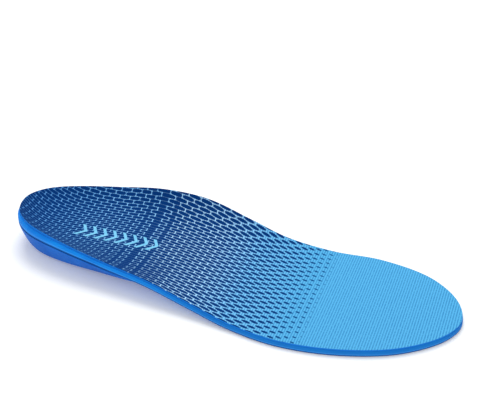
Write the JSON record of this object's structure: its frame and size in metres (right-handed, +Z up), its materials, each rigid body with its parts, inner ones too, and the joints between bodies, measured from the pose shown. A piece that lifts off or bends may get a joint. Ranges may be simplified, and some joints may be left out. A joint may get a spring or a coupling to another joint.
{
  "type": "cushioned insole",
  "caption": "Full-length cushioned insole for a right shoe: knitted cover on foam, deep heel cup, raised arch support and a thin flat forefoot.",
  "frame": {"origin": "on the floor, under the middle of the insole's bounding box", "axes": "+X from heel to toe, +Y to the big-toe (medial) side, +Z up"},
  "size_m": [0.28, 0.0999, 0.0246],
  "materials": {
    "knit_fabric": "two-tone knitted fabric, matt",
    "soft_foam": "matt moulded foam",
    "firm_foam": "matt moulded foam, firmer",
    "shock_pad": "smooth satin foam",
    "printed_mark": "thin raised transfer print, satin"
  },
  "bodies": {
    "root": {"top_cover": "knit_fabric", "cushion_foam": "soft_foam", "support_base": "firm_foam", "heel_pad": "shock_pad", "forefoot_pad": "shock_pad"}
  },
  "joints": []
}
